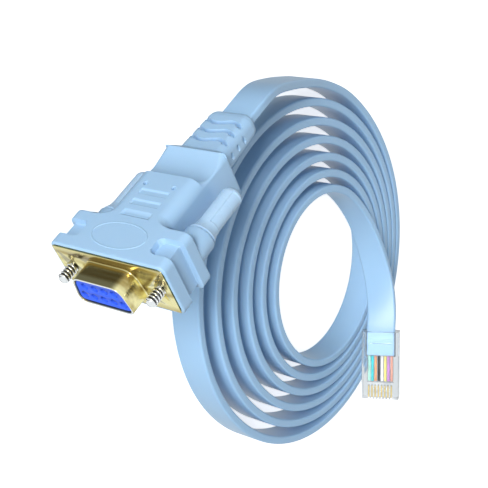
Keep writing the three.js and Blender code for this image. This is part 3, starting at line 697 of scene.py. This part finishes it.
def makeShell(s, material, paintedLipHighlight):
    half, tall = s["flange"]
    plate = roundedBox((-half, 0, -tall), (half, s["flangeThick"], tall), s["flangeEdge"], 3)
    shellPiece = addPiece("goldShell", plate, material, hoodPlace, 30)
    for side in (1, -1):
        hole = skin(turnedRings([(s["screwHole"], -1), (s["screwHole"], 2)], 40))
        hole = moved(hole, (side * s["screwPlace"], 0, 0))
        cutAway(shellPiece, addPiece("holeCutter", hole, material, hoodPlace))
    opening = skin(shellRings(s, [(-1, s["wall"]), (2, s["wall"])]))
    cutAway(shellPiece, addPiece("openingCutter", opening, material, hoodPlace))
    rows = [(0.3, -s["draw"])] + [(-s["draw"] * (1 - math.cos(a)), -s["draw"] * (1 - math.sin(a)))
                                  for a in np.linspace(0, math.pi / 2, 8)]
    lip, wall, front = s["lip"], s["wall"], -s["depth"]
    rows += [(front + lip, 0.0), (front + lip * 0.3, lip * 0.3), (front, lip), (front, wall - lip),
             (front + lip * 0.3, wall - lip * 0.3), (front + lip, wall), (0.5, wall)]
    sleeve = addPiece("goldSleeve", skin(shellRings(s, rows), False, False), material, hoodPlace, 50)
    sleeve.data.materials.append(paintedLipHighlight)
    # The front lip takes pale nickel instead of gold: a painted highlight for the rim's white shine
    lipStart = hoodPlace[1][3] + front * mm * 0.9
    for face in sleeve.data.polygons:
        onLip = face.normal.y < -0.9 and face.center.y < lipStart
        face.material_index = 1 if onLip else 0
    joined = {"active_object": shellPiece, "selected_editable_objects": [shellPiece, sleeve]}
    with bpy.context.temp_override(**joined):
        bpy.ops.object.join()
    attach(shellPiece, mainBody)
    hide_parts("flange_shell")


insulatorShape = {"front": -4.9, "back": 2.5, "inset": 0.75, "hole": 0.92, "holeEnd": 1.5, "rim": 0.1,
                  "pitch": 2.77, "rows": 2.84, "edge": 0.15}


def makeInsulator(s, shell, material):
    rows = [(s["front"], s["inset"] + s["edge"]), (s["front"] + s["edge"], s["inset"]),
            (s["back"], s["inset"])]
    block = addPiece("blueInsulator", skin(shellRings(shell, rows)), material, hoodPlace, 30)
    cutters = []
    for count, z in ((5, -s["rows"] / 2), (4, s["rows"] / 2)):
        for i in range(count):
            profile = [(s["hole"] + s["rim"] + 0.2, s["front"] - 0.2), (s["hole"], s["front"] + s["rim"]),
                       (s["hole"], s["holeEnd"])]
            x = (i - (count - 1) / 2) * s["pitch"]
            cutters.append(moved(skin(turnedRings(profile, 32)), (x, 0, z)))
    cutAway(block, addPiece("holeCutters", together(*cutters), material, hoodPlace))
    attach(block, mainBody)
    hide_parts("insulator")


makeShell(shellShape, goldPlate, nickelPlate)
makeInsulator(insulatorShape, shellShape, insulatorPlastic)
for name, node in nodes.items():
    if name.startswith(("socket_contact", "contact_blade")):
        node.data.materials.clear()
        node.data.materials.append(contactPlate)
print("socket made")


# Thumbscrews: a threaded steel screw with a moulded grip on each

screwShape = {
    "radius": 1.4, "root": 1.06, "pitch": 0.8,
    "tip": -4.0,  # 0.6 short of the CAD screw's tip
    "threadEnd": 0.0, "tail": 21.1, "place": 12.5,
    "darkBelow": 1.2,  # the radius under which the thread's root is painted dark, as shade
}
gripShape = {
    "foot": 16.1, "footRadius": 3.3, "footRim": 0.25, "radius": 2.6, "flare": 2.6, "end": 30.4,
    "round": 2.3, "panelHalf": 58.0, "panelFrom": 19.0, "panelTo": 28.6, "panelDepth": 0.22,
}


def threadedScrew(s):
    # Rings whose radius follows the thread's helix
    segments, rings = 36, []
    thread = np.arange(s["tip"] + 0.06, s["threadEnd"], 0.06)
    for y in [s["tip"], s["tip"] + 0.02, *thread, s["threadEnd"] + 0.2, s["tail"]]:
        ring = []
        for j in range(segments):
            angle = 2 * math.pi * j / segments
            phase = ((y - s["tip"]) / s["pitch"] - j / segments) % 1.0
            crest = smoothStep(1 - abs(2 * phase - 1), 0.35, 0.75)
            radius = s["root"] + (s["radius"] - s["root"]) * float(crest)
            chamfer = s["root"] - 0.25 + (y - s["tip"]) * 1.2
            radius = min(radius, chamfer) if y < s["threadEnd"] else s["radius"]
            ring.append((radius * math.cos(angle), y, radius * math.sin(angle)))
        rings.append(ring)
    return skin(rings)


def thumbGrip(s):
    rim = s["footRim"]
    profile = [(1.72, s["foot"] + 4.0), (1.72, s["foot"]), (s["footRadius"] - rim, s["foot"]),
               (s["footRadius"], s["foot"] + rim)]
    for t in np.linspace(0.12, 1, 10):
        flared = s["radius"] + (s["footRadius"] - s["radius"]) * (1 - t) ** 1.6
        profile.append((flared, s["foot"] + rim + (s["flare"] - rim) * t))
    for y in np.arange(s["foot"] + s["flare"] + 0.15, s["end"] - s["round"], 0.12):
        profile.append((s["radius"], y))
    for a in np.linspace(0, math.pi / 2, 14):
        profile.append((max(s["radius"] * math.cos(a), 0.02), s["end"] - s["round"] * (1 - math.sin(a))))
    rings = turnedRings(profile, 120)
    angle = np.abs(np.arctan2(rings[..., 2], np.abs(rings[..., 0])))
    half = math.radians(s["panelHalf"])
    edge = np.maximum((angle - half) * s["radius"],
                      np.maximum(s["panelFrom"] - rings[..., 1], rings[..., 1] - s["panelTo"]))
    sunk = 1 - smoothStep(edge, -0.14, 0.02)
    shrink = 1 - s["panelDepth"] * sunk / np.maximum(np.hypot(rings[..., 0], rings[..., 2]), 0.5)
    rings[..., 0] *= shrink
    rings[..., 2] *= shrink
    return skin(rings)


def makeThumbscrews():
    for side, sign in (("upper", 1), ("lower", -1)):
        place = hoodPlace @ Matrix.Translation((sign * screwShape["place"] * mm, 0, 0))
        screw = addPiece(side + "Screw", threadedScrew(screwShape), nickelPlate, place, 50)
        screw.data.materials.append(threadRootShade)
        axis = place.translation
        behindTip = axis.y + screwShape["tip"] * mm * 0.9
        for face in screw.data.polygons:
            # Faces deep in the thread take the near-black metal: painted shade in its root
            out = math.hypot(face.center.x - axis.x, face.center.z - axis.z) / mm
            inRoot = out < screwShape["darkBelow"] and face.center.y > behindTip
            face.material_index = 1 if inRoot else 0
        grip = addPiece(side + "Grip", thumbGrip(gripShape), gripPlastic, place, 50)
        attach(screw, side + "_thumbscrew")
        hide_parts(side + "_jackscrew")
        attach(grip, side + "_thumbscrew")
        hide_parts(side + "_thumb_grip")


makeThumbscrews()
print("thumbscrews made")


# The clear plug with its latch, coloured wires and contacts

wireLooks = [("salmon", (0.78, 0.36, 0.27)), ("violet", (0.6, 0.27, 0.68)), ("yellow", (0.9, 0.76, 0.22)),
             ("white", (0.88, 0.88, 0.9)), ("black", (0.012, 0.012, 0.014)), ("orange", (0.9, 0.38, 0.18)),
             ("turquoise", (0.03, 0.66, 0.72)), ("mint", (0.45, 0.85, 0.7))]


def wireInsulation(name, color):
    material, shader = startMaterial(name + "Insulation", color, 0.35)
    varyColor(material, shader, addNoise(material, 500.0), tuple(c * 0.85 for c in color), color)
    addGrain(material, shader, addNoise(material, 3000.0), 0.1, 0.02)
    return material


def clearPiece(nodeName, name, body, edge):
    # The clear moulding with its edges softened
    mesh = nodes[nodeName].data.copy()
    mesh.transform(nodes[nodeName].matrix_world)
    build = bmesh.new()
    build.from_mesh(mesh)
    bmesh.ops.dissolve_limit(build, angle_limit=math.radians(1.5), verts=build.verts, edges=build.edges)
    build.to_mesh(mesh)
    build.free()
    mesh.materials.clear()
    mesh.materials.append(clearShell)
    piece = bpy.data.objects.new(name, mesh)
    bpy.context.scene.collection.objects.link(piece)
    softenEdges(piece, edge)
    piece.data.polygons.foreach_set("use_smooth", [True] * len(piece.data.polygons))
    piece.data.set_sharp_from_angle(angle=math.radians(35))
    piece.visible_shadow = False  # the wires inside are lit
    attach(piece, body)
    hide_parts(nodeName)
    return piece


clearPieces = [clearPiece("plug_body", "clearPlug", mainBody, 0.12),
               clearPiece("plug_latch", "clearLatch", "plug_latch", 0.08)]
for i, (name, color) in enumerate(wireLooks):
    wire = nodes["wire_%d" % (i + 1)]
    wire.data.materials.clear()
    wire.data.materials.append(wireInsulation(name, color))

print("plug made")


# Floor and studio light

studio = {
    "floor": (0.93, 0.94, 0.955), "floorGlow": 0.75, "floorHalf": 2500.0, "floorDrop": -0.3,
    "below": 0.26, "above": 0.32,  # the room's light on matt surfaces, from under and over them
    "tint": (0.92, 0.97, 1.0),
    "onGloss": 0.95, "darkSide": (-0.5, 0.4, -0.75), "darkFrom": 0.35, "darkTo": 0.9, "dark": 0.15,
    "lampsAim": (0.05, 0.03, 0.01),
    "lamps": [
        ("keyLight", (-0.52, -0.36, 0.27), 0.22, 4.3),  # name, place, size, watts
        ("fillLight", (-0.25, -0.55, 0.2), 0.3, 1.6),
        ("rimLight", (0.36, 0.45, 0.62), 0.4, 0.4),
    ],
    "unmirrored": ("fillLight",),
}


def addRoomLight(setup):
    # Matt surfaces see a room lit from above; metal and glass see it whole, with one dark corner
    world = bpy.data.worlds.new("paleStudio")
    world.use_nodes = True
    tree = world.node_tree
    background = tree.nodes["Background"]
    place = tree.nodes.new("ShaderNodeTexCoord")
    rays = tree.nodes.new("ShaderNodeLightPath")

    def spread(direction, start, end, low, high):
        toward = tree.nodes.new("ShaderNodeVectorMath")
        toward.operation = "DOT_PRODUCT"
        toward.inputs[1].default_value = direction
        level = tree.nodes.new("ShaderNodeMapRange")
        for name, value in (("From Min", start), ("From Max", end), ("To Min", low), ("To Max", high)):
            level.inputs[name].default_value = value
        tree.links.new(place.outputs["Generated"], toward.inputs[0])
        tree.links.new(toward.outputs["Value"], level.inputs["Value"])
        return level.outputs["Result"]

    gloss = spread(setup["darkSide"], setup["darkFrom"], setup["darkTo"], setup["onGloss"],
                   setup["onGloss"] * setup["dark"])
    matt = spread((0, 0, 1), -0.4, 0.3, setup["below"], setup["above"])
    mix = tree.nodes.new("ShaderNodeMix")
    tree.links.new(rays.outputs["Diffuse Depth"], mix.inputs["Factor"])
    tree.links.new(gloss, mix.inputs["A"])
    tree.links.new(matt, mix.inputs["B"])
    tree.links.new(mix.outputs["Result"], background.inputs["Strength"])
    background.inputs["Color"].default_value = (*setup["tint"], 1.0)
    bpy.context.scene.world = world


def addStudio(setup):
    addRoomLight(setup)
    for name, place, size, power in setup["lamps"]:
        lamp = bpy.data.lights.new(name, "AREA")
        lamp.energy = power
        lamp.size = size
        holder = bpy.data.objects.new(name, lamp)
        bpy.context.scene.collection.objects.link(holder)
        holder.location = place
        holder.visible_transmission = False  # what is inside the clear plug is lit once
        holder.visible_glossy = name not in setup["unmirrored"]
        aim = Vector(setup["lampsAim"]) - Vector(place)
        holder.rotation_euler = aim.to_track_quat("-Z", "Y").to_euler()
    floorMaterial, shader = startMaterial("paleFloor", setup["floor"], 0.6)
    shader.inputs["Emission Color"].default_value = (*setup["floor"], 1.0)
    shader.inputs["Emission Strength"].default_value = setup["floorGlow"]
    darker = tuple(c * 0.985 for c in setup["floor"])
    varyColor(floorMaterial, shader, addNoise(floorMaterial, 4.0), darker, setup["floor"])
    half, drop = setup["floorHalf"], setup["floorDrop"]
    corners = [(-half, -half, drop), (half, -half, drop), (half, half, drop), (-half, half, drop)]
    floor = addPiece("floor", (corners, [(0, 1, 2, 3)]), floorMaterial, Matrix())
    floor.visible_diffuse = False  # the floor glows for the camera only and lights nothing
    floor.visible_glossy = False
    floor.visible_transmission = False


addStudio(studio)
bpy.context.scene.view_settings.view_transform = "Standard"
print("studio set")
